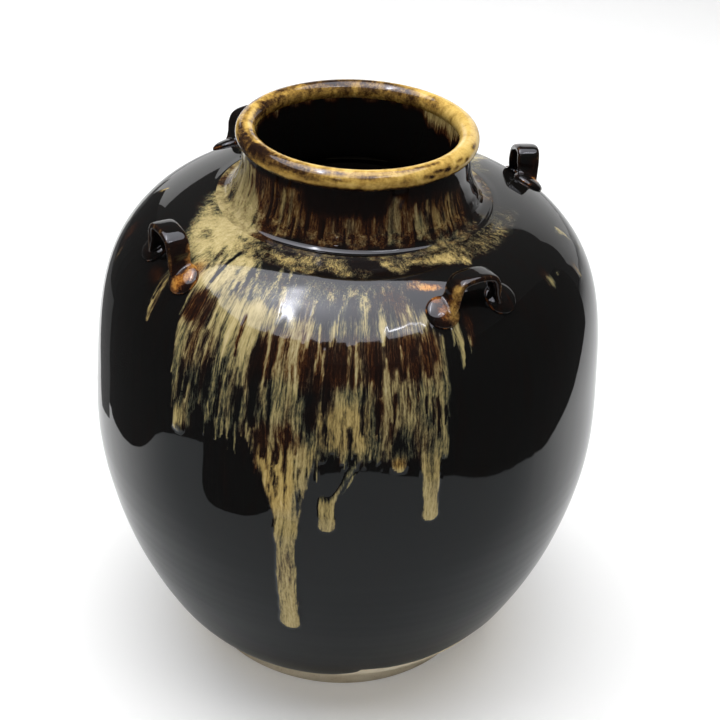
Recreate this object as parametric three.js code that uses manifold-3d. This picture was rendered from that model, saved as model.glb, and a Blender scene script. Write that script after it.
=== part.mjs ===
// Tea jar, wheel-thrown stoneware with four shoulder lugs and a poured second glaze.
// Millimetres, +Z up. The foot stands on z = 0, the middle of the base is the origin
// and the front of the jar faces -Y.
import * as THREE from 'three';
import { mergeVertices } from 'three/addons/utils/BufferGeometryUtils.js';
import Module from 'manifold-3d';

const wasm = await Module();
wasm.setup();

// Driving sizes
const bellyRadius = 120;
const footRadius = 71.4;
const footHeight = 8;
const ridgeRadius = 62.2;
const ridgeHeight = 235.4;
const neckRadius = 50.6;
const neckHeight = 24;
const wall = 6;
const rollRadius = 4.6;

// Clearance between pieces that touch, and how finely round pieces are cut
const gap = 0.3;
const segments = 64;
const profileSteps = 24;

// Foot
const restRadius = footRadius - 3.6;
const ringWidth = 11.5;
const recessRadius = restRadius - ringWidth;
const recessDepth = 2.2;
const footEdge = 1;

// Neck and rim
const neckInner = neckRadius - 5.3;
const neckBottom = ridgeHeight + gap;
const neckTop = neckBottom + neckHeight;
const neckFootRadius = ridgeRadius - 1.4;
const rollCentreRadius = neckRadius - 1.4;
const rollSeat = 0.8 * rollRadius;
const rollCentreHeight = neckTop + gap + rollSeat;

// Lugs: a pulled strap of clay bent into a loop, both ends pressed onto the shoulder.
// Azimuth is measured from the front towards +X, out is the share of the way from the
// ridge to the belly, turn twists the loop about the vertical, and rise is its share of
// the lug height. Angles in degrees.
const lugHalfSpan = 10.3;
const lugHeight = 17;
const strapWidth = 10;
const strapThickness = 3.6;
const lugs = [
  { name: 'lug_front_right', azimuth: 32.5, out: 0.55, turn: -12, rise: 0.92 },
  { name: 'lug_front_left', azimuth: -56, out: 0.535, turn: -3, rise: 1 },
  { name: 'lug_back_right', azimuth: 122, out: 0.585, turn: -5, rise: 1 },
  { name: 'lug_back_left', azimuth: -144, out: 0.446, turn: 0, rise: 0.94 },
];
const padOffset = lugHalfSpan + 4.4;
const padLength = 7.6;
const padWidth = 7.2;
const padThickness = 3.2;

// Poured glaze: a thin sheet on the front of the jar, thicker where it runs into drips
const pourThickness = 1.2;
const dripThickness = 2;

const degrees = Math.PI / 180;

// Outside of the body from the foot to the ridge under the neck.
// Below the belly the first number runs from the foot radius (0) to the belly (1),
// above it from the ridge radius (0) to the belly (1). The second is the height.
const lowerBody = [
  [0, 0],
  [0.249, 0.045],
  [0.506, 0.129],
  [0.784, 0.268],
  [0.957, 0.416],
  [1, 0.527],
];
const upperBody = [
  [0.969, 0.668],
  [0.924, 0.769],
  [0.81, 0.867],
  [0.559, 0.946],
  [0.282, 0.977],
  [0, 1],
];
const wallBottom = footHeight + gap;
const bodyHeight = ridgeHeight - wallBottom;
const controlPoints = [];
for (const [across, up] of lowerBody) {
  const radius = THREE.MathUtils.lerp(footRadius, bellyRadius, across);
  controlPoints.push(new THREE.Vector2(radius, wallBottom + up * bodyHeight));
}
for (const [across, up] of upperBody) {
  const radius = THREE.MathUtils.lerp(ridgeRadius, bellyRadius, across);
  controlPoints.push(new THREE.Vector2(radius, wallBottom + up * bodyHeight));
}
const bodyCurve = new THREE.SplineCurve(controlPoints);
const bodyOutline = bodyCurve.getSpacedPoints(profileSteps);

// The body outline moved along its own normals, outwards for a positive distance
function offsetOutline(distance) {
  return bodyOutline.map((point, index) => {
    const before = bodyOutline[Math.max(index - 1, 0)];
    const after = bodyOutline[Math.min(index + 1, profileSteps)];
    const along = new THREE.Vector2().subVectors(after, before).normalize();
    return [point.x + along.y * distance, point.y - along.x * distance];
  });
}

// Height of the outside of the shoulder at a radius
function shoulderHeight(radius) {
  for (let index = profileSteps; index > 0; index -= 1) {
    const upper = bodyOutline[index];
    const lower = bodyOutline[index - 1];
    if (radius <= lower.x) {
      const share = (radius - upper.x) / (lower.x - upper.x);
      return THREE.MathUtils.lerp(upper.y, lower.y, share);
    }
  }
  return ridgeHeight;
}

// A solid of revolution about the Z axis from a list of [radius, height]
function revolve(profile) {
  const points = profile.map(([radius, height]) => new THREE.Vector2(radius, height));
  const geometry = new THREE.LatheGeometry(points, segments);
  geometry.rotateX(Math.PI / 2);
  return geometry;
}

function toManifold(geometry) {
  const plain = new THREE.BufferGeometry();
  plain.setAttribute('position', geometry.getAttribute('position'));
  if (geometry.index) {
    plain.setIndex(geometry.index);
  }
  const merged = mergeVertices(plain, 1e-4);
  const mesh = new wasm.Mesh({
    numProp: 3,
    vertProperties: new Float32Array(merged.getAttribute('position').array),
    triVerts: new Uint32Array(merged.index.array),
  });
  return new wasm.Manifold(mesh);
}

function fromManifold(manifold) {
  const mesh = manifold.getMesh();
  const geometry = new THREE.BufferGeometry();
  geometry.setAttribute('position', new THREE.BufferAttribute(mesh.vertProperties, 3));
  geometry.setIndex(new THREE.BufferAttribute(mesh.triVerts, 1));
  geometry.computeVertexNormals();
  return geometry;
}

// Foot: floor of the jar and its bare ring, with a shallow recess underneath
function makeFoot() {
  return revolve([
    [0, recessDepth],
    [recessRadius - recessDepth, recessDepth],
    [recessRadius, 0],
    [restRadius, 0],
    [restRadius + footEdge, footEdge],
    [footRadius - 0.6, footHeight],
    [0, footHeight],
  ]);
}

// Body wall: the thrown outside, an even wall, and a flat seat for the neck
function makeBody() {
  const outside = bodyOutline.map((point) => [point.x, point.y]);
  const inside = offsetOutline(-wall).filter(([radius, height]) => {
    return height > wallBottom + 1.1 * wall && height < ridgeHeight - 1.05 * wall;
  });
  const profile = [
    ...outside,
    [neckInner, ridgeHeight],
    [neckInner, ridgeHeight - wall],
    [ridgeRadius - wall / 2, ridgeHeight - wall],
    ...inside.reverse(),
    [footRadius - 1.5 * wall, wallBottom],
    outside[0],
  ];
  return revolve(profile);
}

// Neck: nearly upright, flaring out to the ridge where it meets the shoulder
function makeNeck() {
  const flare = neckFootRadius - neckRadius;
  const profile = [[neckFootRadius, neckBottom]];
  const flareShape = [
    [0.62, 0.05],
    [0.34, 0.14],
    [0.17, 0.27],
    [0.06, 0.47],
    [0, 0.75],
    [0, 1],
  ];
  for (const [out, up] of flareShape) {
    profile.push([neckRadius + out * flare, neckBottom + up * neckHeight]);
  }
  profile.push([neckInner, neckTop]);
  profile.push([neckInner - 0.4, neckBottom + 0.5 * neckHeight]);
  profile.push([neckInner, neckBottom]);
  profile.push(profile[0]);
  return revolve(profile);
}

// Rim: a round roll of clay with a flat underside on the neck
function makeRim() {
  const steps = 14;
  const start = -Math.asin(rollSeat / rollRadius);
  const sweep = Math.PI - 2 * start;
  const profile = [];
  for (let step = 0; step <= steps; step += 1) {
    const angle = start + (sweep * step) / steps;
    const radius = rollCentreRadius + rollRadius * Math.cos(angle);
    profile.push([radius, rollCentreHeight + rollRadius * Math.sin(angle)]);
  }
  profile.push(profile[0]);
  return revolve(profile);
}

// Strap of a lug: a rounded flat section carried along an arch.
// x runs across the strap, y along the loop and z up, from the shoulder at z = 0.
function makeStrap(height) {
  const stations = 20;
  const sides = 12;
  const depth = 9;
  const span = lugHalfSpan - strapThickness / 2;
  const rise = height - strapThickness / 2;
  const path = [new THREE.Vector2(-span - 3, -depth)];
  for (let step = 0; step <= stations; step += 1) {
    const angle = (Math.PI * step) / stations;
    const across = -Math.sign(Math.cos(angle)) * Math.abs(Math.cos(angle)) ** 0.87;
    const up = Math.abs(Math.sin(angle)) ** 0.87;
    const splay = 1 + 0.2 * (1 - up) ** 3;
    path.push(new THREE.Vector2(span * splay * across, rise * up));
  }
  path.push(new THREE.Vector2(span + 3, -depth));
  const positions = [];
  const last = path.length - 1;
  path.forEach((point, index) => {
    const before = path[Math.max(index - 1, 0)];
    const after = path[Math.min(index + 1, last)];
    const along = new THREE.Vector2().subVectors(after, before).normalize();
    const low = Math.max(0, 1 - Math.max(point.y, 0) / rise);
    const halfWidth = strapWidth / 2 + 1.5 * low * low;
    for (let side = 0; side < sides; side += 1) {
      const turn = (2 * Math.PI * side) / sides;
      const wide = Math.sign(Math.cos(turn)) * Math.abs(Math.cos(turn)) ** 0.6;
      const thick = Math.sign(Math.sin(turn)) * Math.abs(Math.sin(turn)) ** 0.6;
      const outward = (thick * strapThickness) / 2;
      positions.push(wide * halfWidth);
      positions.push(point.x - along.y * outward);
      positions.push(point.y + along.x * outward);
    }
  });
  const indices = [];
  for (let ring = 0; ring < last; ring += 1) {
    for (let side = 0; side < sides; side += 1) {
      const a = ring * sides + side;
      const b = ring * sides + ((side + 1) % sides);
      indices.push(a, b + sides, b, a, a + sides, b + sides);
    }
  }
  for (let side = 1; side < sides - 1; side += 1) {
    const end = last * sides;
    indices.push(0, side, side + 1);
    indices.push(end, end + side + 1, end + side);
  }
  const geometry = new THREE.BufferGeometry();
  geometry.setAttribute('position', new THREE.Float32BufferAttribute(positions, 3));
  geometry.setIndex(indices);
  return geometry;
}

// A pressed pad at the end of a strap, laid flat on the slope of the shoulder
function makePad(azimuth, radius) {
  const slope = (shoulderHeight(radius + 4) - shoulderHeight(radius - 4)) / 8;
  const out = new THREE.Vector3(Math.sin(azimuth), -Math.cos(azimuth), 0);
  const along = new THREE.Vector3(Math.cos(azimuth), Math.sin(azimuth), 0);
  const down = out.clone().setZ(slope).normalize();
  const normal = new THREE.Vector3().crossVectors(down, along);
  const place = new THREE.Matrix4().makeBasis(down, along, normal);
  place.setPosition(out.multiplyScalar(radius).setZ(shoulderHeight(radius)));
  const geometry = new THREE.SphereGeometry(1, 16, 10);
  geometry.scale(padWidth, padLength, padThickness);
  geometry.applyMatrix4(place);
  return geometry;
}

// A ring that fills the shoulder up to the clearance, used to trim the lugs
function makeShoulderCutter() {
  const shoulder = offsetOutline(gap).filter(([radius, height]) => height > 0.6 * ridgeHeight);
  const profile = [
    ...shoulder,
    [neckInner, ridgeHeight + gap],
    [neckInner, 0.6 * ridgeHeight],
    [shoulder[0][0], 0.6 * ridgeHeight],
    shoulder[0],
  ];
  return toManifold(revolve(profile));
}

function makeLug({ azimuth, out, turn, rise }, cutter) {
  const angle = azimuth * degrees;
  const facing = (azimuth + turn) * degrees;
  const radius = THREE.MathUtils.lerp(ridgeRadius, bellyRadius, out);
  const strap = makeStrap(rise * lugHeight);
  strap.rotateZ(facing - Math.PI / 2);
  strap.translate(
    radius * Math.sin(angle),
    -radius * Math.cos(angle),
    shoulderHeight(radius),
  );
  let lug = toManifold(strap);
  for (const side of [-1, 1]) {
    const x = radius * Math.sin(angle) + side * padOffset * Math.cos(facing);
    const y = -radius * Math.cos(angle) + side * padOffset * Math.sin(facing);
    const pad = makePad(Math.atan2(x, -y), Math.hypot(x, y));
    lug = lug.add(toManifold(pad));
  }
  return fromManifold(lug.subtract(cutter));
}

// A slab seen from the front as the given shape, covering the front half of the jar
function frontSlab(shape) {
  const depth = 1.5 * bellyRadius;
  const geometry = new THREE.ExtrudeGeometry(shape, {
    depth,
    bevelEnabled: false,
    curveSegments: 8,
  });
  geometry.rotateX(Math.PI / 2);
  return toManifold(geometry);
}

// A coat of glaze of even thickness all round the body, clear of it by the gap
function glazeCoat(thickness) {
  const inner = offsetOutline(gap);
  const outer = offsetOutline(gap + thickness);
  return toManifold(revolve([...outer, ...inner.reverse(), outer[0]]));
}

// Edge of the pour seen from the front, and its drips. Distances across are shares of
// the belly radius and heights are shares of the ridge height.
const pourEdge = [
  [-0.283, 0.993],
  [-0.433, 0.949],
  [-0.55, 0.89],
  [-0.567, 0.828],
  [-0.508, 0.739],
  [-0.383, 0.692],
  [-0.258, 0.667],
  [-0.217, 0.624],
  [-0.179, 0.607],
  [-0.142, 0.624],
  [-0.092, 0.663],
  [0.017, 0.675],
  [0.142, 0.701],
  [0.25, 0.675],
  [0.342, 0.701],
  [0.367, 0.773],
  [0.358, 0.841],
  [0.317, 0.888],
  [0.208, 0.93],
  [0.125, 0.964],
  [0.083, 0.993],
];
const drips = [
  { across: -0.179, tip: 0.31, top: 0.748, halfWidth: 5.2 },
  { across: -0.05, tip: 0.586, top: 0.756, halfWidth: 4.4 },
  { across: 0.308, tip: 0.599, top: 0.807, halfWidth: 5 },
];

function dripShape({ across, tip, top, halfWidth }, inset) {
  const x = across * bellyRadius;
  const reach = halfWidth - inset;
  const shape = new THREE.Shape();
  shape.moveTo(x - reach, top * ridgeHeight);
  shape.absarc(x, tip * ridgeHeight + halfWidth, reach, Math.PI, 2 * Math.PI, false);
  shape.lineTo(x + reach, top * ridgeHeight);
  shape.closePath();
  return shape;
}

// Poured glaze: the sheet on the shoulder, and the drips that leave its lower edge
function makePour() {
  const edge = pourEdge.map(([across, up]) => {
    return new THREE.Vector3(across * bellyRadius, up * ridgeHeight, 0);
  });
  const outline = new THREE.CatmullRomCurve3(edge, true);
  const sheet = new THREE.Shape();
  sheet.setFromPoints(outline.getPoints(48));
  const thin = glazeCoat(pourThickness);
  const thick = glazeCoat(dripThickness);
  let pour = thin.intersect(frontSlab(sheet));
  for (const drip of drips) {
    pour = pour.add(thin.intersect(frontSlab(dripShape(drip, 0))));
    pour = pour.add(thick.intersect(frontSlab(dripShape(drip, 1.4))));
  }
  return fromManifold(pour);
}

// Colours of the clay and of the glazes
const clay = new THREE.MeshStandardMaterial({ color: '#d8c7a3', roughness: 0.85 });
const blackGlaze = new THREE.MeshStandardMaterial({ color: '#1d1b1a', roughness: 0.12 });
const rustGlaze = new THREE.MeshStandardMaterial({ color: '#5b3b20', roughness: 0.2 });
const amberGlaze = new THREE.MeshStandardMaterial({ color: '#c39a4e', roughness: 0.2 });
const ashGlaze = new THREE.MeshStandardMaterial({ color: '#b8a06a', roughness: 0.25 });

const jar = new THREE.Group();
jar.name = 'tea_jar';

function place(name, geometry, material) {
  const mesh = new THREE.Mesh(geometry, material);
  mesh.name = name;
  jar.add(mesh);
}

place('foot_base', makeFoot(), clay);
place('body_wall', makeBody(), blackGlaze);
place('neck_collar', makeNeck(), rustGlaze);
place('rolled_rim', makeRim(), amberGlaze);
const cutter = makeShoulderCutter();
for (const lug of lugs) {
  place(lug.name, makeLug(lug, cutter), blackGlaze);
}
place('ash_glaze_pour', makePour(), ashGlaze);

export default jar;
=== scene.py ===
import math

import bmesh
import bpy
import numpy as np
from mathutils import Matrix, Vector


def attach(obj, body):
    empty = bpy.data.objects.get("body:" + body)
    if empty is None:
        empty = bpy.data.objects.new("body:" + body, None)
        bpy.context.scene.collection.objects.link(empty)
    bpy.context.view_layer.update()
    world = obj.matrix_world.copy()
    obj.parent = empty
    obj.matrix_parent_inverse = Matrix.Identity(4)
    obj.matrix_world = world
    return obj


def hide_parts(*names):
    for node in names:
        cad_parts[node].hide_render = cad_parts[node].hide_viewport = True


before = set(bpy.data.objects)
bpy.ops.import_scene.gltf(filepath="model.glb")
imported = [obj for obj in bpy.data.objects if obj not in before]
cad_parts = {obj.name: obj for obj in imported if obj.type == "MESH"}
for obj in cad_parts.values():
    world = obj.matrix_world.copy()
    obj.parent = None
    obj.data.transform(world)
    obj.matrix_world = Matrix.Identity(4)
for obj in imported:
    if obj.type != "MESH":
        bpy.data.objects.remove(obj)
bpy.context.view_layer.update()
rng = np.random.default_rng(7)

# Sizes in metres, the same as the solids
BELLY = 0.12
RIDGE_R = 0.0622
RIDGE_Z = 0.2335
NECK_TOP = 0.2597
ROLL_R = 0.0046
ROLL_CENTRE = (0.0492, 0.26368)
FOOT_R = 0.0714


# Small helpers
def smooth(a, b, x):
    """Rises softly from 0 at a to 1 at b."""
    t = np.clip((x - a) / (b - a), 0, 1)
    return t * t * (3 - 2 * t)


def window(x, a, b, c, d):
    """0 below a, 1 from b to c and 0 above d, with soft steps between them."""
    return smooth(a, b, x) * (1 - smooth(c, d, x))


def wave(theta, *terms):
    """A sum of sines round the jar: (cycles, size, phase) for each term."""
    return sum(size * np.sin(n * theta + phase) for n, size, phase in terms)


def summed(rate, step):
    """Running total of a rate that changes from point to point."""
    return np.concatenate([[0], np.cumsum((rate[1:] + rate[:-1]) / 2 * step)])


def arc_length(points):
    """Way along a line of points from its start to each of them."""
    return np.concatenate([[0], np.cumsum(np.hypot(*np.diff(points, axis=0).T))])


def around(theta, radius, height):
    """Points at an azimuth from the front of the jar, a radius and a height."""
    return np.stack([radius * np.sin(theta), -radius * np.cos(theta), height], -1)


def catmull(points, per=24):
    """A smooth curve through the points, with per steps from each to the next."""
    pts = np.array(points, float)
    pts = np.vstack([2 * pts[0] - pts[1], pts, 2 * pts[-1] - pts[-2]])
    out = []
    for i in range(1, len(pts) - 2):
        p0, p1, p2, p3 = pts[i - 1 : i + 3]
        for t in np.linspace(0, 1, per, endpoint=False):
            bend = (2 * p0 - 5 * p1 + 4 * p2 - p3) * t * t
            twist = (3 * p1 - p0 - 3 * p2 + p3) * t**3
            out.append(0.5 * (2 * p1 + (p2 - p0) * t + bend + twist))
    out.append(pts[-2])
    return np.array(out)


class Outline:
    """A smooth outline that starts at [radius, height] and follows a list of leans.

    The leans are the angles in degrees of the outward normal above the horizontal, an
    equal step of arc length apart.
    """

    def __init__(self, start, leans, step, extra=0, fine=0.00025):
        knots = np.arange(len(leans)) * step
        curve = catmull(np.stack([knots, np.radians(leans)], -1))
        self.length = knots[-1] + extra
        self.s = np.linspace(0, self.length, int(self.length / fine) + 1)
        self.lean = np.interp(self.s, curve[:, 0], curve[:, 1])
        self.r = start[0] + summed(np.sin(self.lean), self.s[1])
        self.z = start[1] + summed(-np.cos(self.lean), self.s[1])

    def at(self, s):
        """Radius, height and outward normal at a way along the outline."""
        lean, r, z = (np.interp(s, self.s, values) for values in (self.lean, self.r, self.z))
        return r, z, np.cos(lean), np.sin(lean)


# Body outline, from the ridge at the foot of the neck down to the clay foot
LEANS = [87.6, 77.7, 63.7, 47, 33.6, 20.4, 11.7, 7, 4.5, 4.1, 2.4]
LEANS += [-1.2, -6.6, -11.1, -13.8, -17, -20.9, -24, -27, -32.9, -44.1, -57.2]
BODY = Outline((RIDGE_R, RIDGE_Z), LEANS, 0.012744, extra=0.0018)


def set_attributes(mesh, attributes):
    """Writes one value or one vector for each point, for the materials to read."""
    for key, values in attributes.items():
        values = np.asarray(values, np.float32)
        kind, slot = ("FLOAT_VECTOR", "vector") if values.ndim == 2 else ("FLOAT", "value")
        layer = mesh.attributes.new(key, kind, "POINT")
        layer.data.foreach_set(slot, values.ravel())


def new_mesh(name, verts, faces, attributes=None, smooth_shade=True):
    mesh = bpy.data.meshes.new(name)
    mesh.from_pydata([tuple(v) for v in verts], [], [tuple(f) for f in faces])
    mesh.update()
    set_attributes(mesh, attributes or {})
    mesh.polygons.foreach_set("use_smooth", [smooth_shade] * len(mesh.polygons))
    if smooth_shade:
        mesh.set_sharp_from_angle(angle=math.radians(50))
    ob = bpy.data.objects.new(name, mesh)
    bpy.context.scene.collection.objects.link(ob)
    return ob


def grid_faces(rows, cols, close_rows=False):
    """Quads of a grid whose columns run round the jar."""
    last = rows if close_rows else rows - 1
    row, col = np.meshgrid(np.arange(last), np.arange(cols), indexing="ij")
    below, beside = (row + 1) % rows * cols, (col + 1) % cols
    row = row * cols
    return np.stack([row + col, row + beside, below + beside, below + col], -1).reshape(-1, 4)


def columns(front_step, back_step, edges):
    """Azimuths in radians, closer together across the front of the jar."""
    front = np.arange(edges[0], edges[1], front_step)
    rest = 360 - (edges[1] - edges[0])
    back = np.linspace(edges[1], 360 + edges[0], int(rest / back_step), endpoint=False)
    return np.radians(np.concatenate([front, back]))


# The glaze, painted in strokes
class Glaze:
    """How thick the pale glaze lies over the black one, and its tint.

    az is the azimuth in degrees from the front, s the way down the surface in mm.
    cover runs from -1 (bare black glaze) through 0 (a thin veil) to 1 (thick and pale).
    warm, amber and fire tint it, bare is unglazed clay, dull is how little it mirrors and
    lift is how far the surface stands out, in mm. A stroke takes its place and sizes, then
    the cover and warm that it lays, then other fields by name.
    """

    FIELDS = ("cover", "warm", "amber", "fire", "bare", "dull")

    def __init__(self, az, s, radius):
        sway = 0.13 * np.sin(s / 4.1 + 0.9 * az) + 0.07 * np.sin(s / 1.7 - 0.37 * az)
        self.az, self.s, self.r = az + sway * smooth(10, 30, s), s, radius * 1000
        self.turn = (self.az + 180) % 360 - 180
        for name in (*self.FIELDS, "lift"):
            setattr(self, name, np.zeros(s.shape))
        self.cover -= 1

    def values(self, flow, hidden=0):
        """What the materials read, with some hidden points added that are black and dull."""
        there = {"cover": -1, "dull": 1.0}
        fields = {
            name: np.append(getattr(self, name), np.full(hidden, there.get(name, 0)))
            for name in self.FIELDS
        }
        return fields | {"flow": np.vstack([flow.reshape(-1, 3), np.full((hidden, 3), 0.3)])}

    def across(self, az):
        """Signed distance in mm round the jar from an azimuth."""
        return np.radians((self.az - az + 180) % 360 - 180) * self.r

    def lay(self, shape, **tints):
        """Moves the named fields towards new values where the shape is 1."""
        shape = np.clip(shape, 0, 1)
        for name, value in tints.items():
            if value is not None:
                old = getattr(self, name)
                setattr(self, name, old + (value - old) * shape)

    def spot(self, az, s, wide, long, cover=None, warm=None, lean=0, **tint):
        """A soft oval: half width and half length in mm."""
        x = self.across(az) - lean * (self.s - s)
        d = (x / wide) ** 2 + ((self.s - s) / long) ** 2
        self.lay(np.exp(-(d**1.4)), cover=cover, warm=warm, **tint)

    def run(self, az0, s0, az1, s1, wide, cover=None, warm=None, sharp=0.45, **tint):
        """A run from (az0, s0) down to a rounded point at (az1, s1), half width in mm."""
        t = np.clip((self.s - s0) / max(s1 - s0, 0.1), 0, 1)
        x = self.across(az0 + (az1 - az0) * t)
        uneven = 1 + 0.1 * np.sin(self.s / 2.9 + az0 * 5) + 0.05 * np.sin(self.s / 1.1 + az1 * 9)
        half = wide * (1 - (1 - sharp) * t**1.5) * uneven
        past = np.maximum(self.s - (s1 - half), 0)
        before = np.maximum(s0 + 2 - self.s, 0) * 0.45
        d = np.sqrt(x * x + past * past + before * before) / half
        self.lay(1 - smooth(0.25, 1.5, d), cover=cover, warm=warm, **tint)

    def field(self, az0, az1, s0, s1, edge_az, edge_s, cover=None, warm=None, **tint):
        """A soft-edged area; s0 and s1 may be arrays that follow the azimuth."""
        shape = window(self.turn, az0 - edge_az, az0 + edge_az, az1 - edge_az, az1 + edge_az)
        shape = shape * window(self.s, s0 - edge_s, s0 + edge_s, s1 - edge_s, s1 + edge_s)
        self.lay(shape, cover=cover, warm=warm, **tint)

    def each(self, stroke, table, **tint):
        """One stroke for each row of a table."""
        for row in table:
            stroke(*row, **tint)

    def scatter(self, count, az, s, length, cover, wide=(0.4, 0.9), lean=0, lower=None,
                **tint):
        """Many runs at random inside a range of azimuth and of starting distance."""
        for _ in range(count):
            a = rng.uniform(*az)
            start = rng.uniform(*s)
            end = start + rng.uniform(*length)
            if lower is not None:
                end = min(end, float(lower(a)) + rng.uniform(-6, 4))
            if end - start < 3:
                continue
            self.run(a, start, a + lean * (end - start), end, rng.uniform(*wide),
                     rng.uniform(*cover), **tint)


def curtain_bottom(az):
    """Lower edge of the streaked curtain, mm below the ridge."""
    px = [-43, -41, -38, -35, -30, -27, -24, -20, -17, -12, -7, -4, 0, 4, 7, 9, 13, 16, 20, 22, 23]
    py = [50, 62, 96, 80, 86, 92, 92, 92, 108, 120, 108, 97, 96, 98, 98, 90, 90, 100, 92, 76, 56]
    return np.interp(az, px, py)


def paint_body(g):
    az = g.turn
    # mottled patch on the left of the shoulder
    edge = [-92, -84, -78, -70, -62, -54, -46, -40, -35, -32.5, -31, -29, -22, -16]
    low = np.interp(az, edge, [0, 5, 7, 12, 20, 27, 30, 31, 28, 19, 12, 7, 5, 2])
    g.field(-90, -19, -14, low, 5, 7, 0.8)
    g.field(-66, -38, -14, low - 6, 6, 8, 1.05)
    g.spot(-78.5, 6, 2.6, 5, 0)
    g.spot(-70, 1, 6, 2.4, 0.3)
    g.spot(-56, 13, 5, 3, 0.55, lean=0.8)
    g.spot(-44, 4, 6, 1.6, 0.45, lean=1)
    g.spot(-47, 20, 4, 3, 0.5, lean=0.8)
    g.spot(-38, 14, 2.6, 5, 0.4, lean=0.5)
    g.each(g.spot, [
        (-34, 1.5, 7, 2, -0.3), (-31, 4.5, 5, 2.4, -0.5), (-60, 22, 3, 3, 0.5),
    ])
    # tan below the patch, where the shoulder mirrors the light above
    g.each(g.field, [
        (-47, -34, 16, 38, 2, 6, 0.72), (-33, -17, 30, 47, 2, 4, 0.86),
        (-17, -6, 33, 46, 3, 5, 0.5), (-6, 20, 30, 46, 3, 6, 0.15), (-31, 18, 13, 32, 3, 5, -0.02),
    ])
    g.scatter(20, (-45, -33), (8, 28), (8, 20), (0.7, 1.1), (1.2, 2.6), lean=0.2)
    g.scatter(20, (-32, -18), (12, 27), (5, 13), (0.25, 0.75), (0.5, 1.3), lean=0.15)
    g.scatter(16, (-12, 18), (16, 30), (4, 10), (0.2, 0.5))
    g.scatter(14, (-48, -30), (10, 28), (5, 13), (0.1, 0.4), (0.7, 1.5), lean=0.25)
    g.each(g.run, [
        (-39.2, 11, -39.3, 31, 1.1, -0.4), (-36.3, 8, -36.5, 29, 2.8, 1.05),
        (-33, 10, -32.6, 30, 2, 0.9), (-42.3, 26, -42.4, 49.5, 1.8, 0.95),
    ])
    g.each(g.spot, [
        (4, 27, 1.9, 8, 0.55), (0.6, 21, 1.8, 2.5, 0.5), (-5.4, 24, 1.4, 4, 0.45),
        (8.3, 30, 1.6, 6, 0.35), (14.5, 31, 3.4, 4, 0.55), (18.5, 35, 2.6, 4, 0.55),
        (-12, 26, 3, 6, 0.2), (-22, 26, 5, 5, 0.3),
    ])
    g.spot(12, 26, 7, 6, -0.1, 0.8)

    # the black band under the ridge, flecked, and too grainy there to mirror much
    band = window(az, -50, -30, 52, 68) * (1 - smooth(9, 15, g.s))
    g.lay(band, cover=0.1, dull=1, amber=0.2)
    g.each(g.spot, [
        (4, 3, 6, 5, -0.6), (11, 8, 5, 4, -0.7), (-8, 12, 5, 2.6, -0.4), (22, 10, 5, 4, -0.7),
        (-24, 2, 3, 1.6, -0.4), (30, 12, 5, 4, -0.6),
    ])
    g.each(g.spot, [
        (-26.5, 6, 3, 2, 0.5), (-22.5, 7, 4, 3.4, 0.65), (-16, 4, 4, 3.6, 0.45),
        (-14.5, 10.5, 3, 2.8, 0.45), (-19, 11.5, 2.6, 1.8, 0.35), (-5.5, 4.2, 4.2, 4.6, 0.5),
        (-2.5, 10, 4, 2.2, 0.4), (-9.5, 7, 3, 2.4, 0.2), (3.5, 9, 3, 4, 0),
        (12.5, 2.8, 2.6, 2.4, 0.7), (14.5, 6.6, 3.2, 2.2, 0.55), (18.5, 6.5, 3, 3, 0.35),
        (24, 3.4, 4, 2.2, 0.5), (30, 5, 5.5, 2.6, 0.6), (36, 6, 5.2, 4, 0.8),
        (40.5, 11, 2.6, 4.4, 0.6), (44, 4, 4, 3.6, 0.3),
    ], amber=0.25)
    g.field(46, 88, -8, 15, 3, 6, -0.1)
    g.each(g.spot, [
        (53, 6, 6, 6, 0.2), (61, 6, 6, 6, 0.15), (68, 6, 6, 5, 0.25), (78, 6, 4, 5, 0.05),
    ], lean=-0.5, amber=0.2)

    # the curtain of streaks
    bottom = curtain_bottom(az)
    g.field(-41, 22.4, 42, bottom - 3, 0.8, 9, 0.42)
    g.field(-43, -34, 35, 51, 2, 4, 0, 1)
    g.field(-38, -31, 46, 66, 3, 6, warm=0.6)
    g.field(-20, 21, 41, 61, 2, 4, 0.06, 0.9)
    g.field(6, 21, 56, 76, 3, 6, warm=0.6)
    g.field(-21, -9.5, 80, 98, 2, 5, warm=0.6)
    g.field(-39, -33, 66, 96, 1, 5, 0.15)
    # olive and pale masses in it
    g.each(g.field, [
        (-40.5, -32, 50, 67, 1, 5, 0.55), (-31, -24.5, 56, 86, 1.2, 6, 0.48),
        (-29, -20.8, 36, 58, 1.2, 6, 0.85), (-16.8, -10.2, 50, 84, 1, 6, 0.62),
        (6.6, 10.2, 58, 86, 1, 5, 0.6), (10.2, 15.6, 56, 78, 1, 6, 0.58),
        (15.6, 21.8, 54, 96, 0.7, 5, 0.68),
    ])
    g.field(-5.4, 4.8, 69, 89, 1, 4, 0.82, amber=0.3)
    g.field(7.5, 14.5, 80, 95, 1.2, 4, 0.25)
    g.scatter(44, (-41, 22), (40, 66), (12, 30), (0.45, 0.8), (0.5, 1.5), lower=curtain_bottom)
    g.scatter(34, (-41, 22), (58, 86), (8, 22), (0.3, 0.65), (0.5, 1.2), lower=curtain_bottom)
    g.field(-39, -24.5, 66, bottom - 5, 1.5, 7, 0.14)
    g.scatter(22, (-39, -25), (60, 80), (8, 20), (0.35, 0.75), (0.4, 1), lower=curtain_bottom)
    g.scatter(46, (-41, 22), (44, 80), (8, 24), (-0.2, 0.2), (0.6, 1.4), lower=curtain_bottom)
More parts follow.
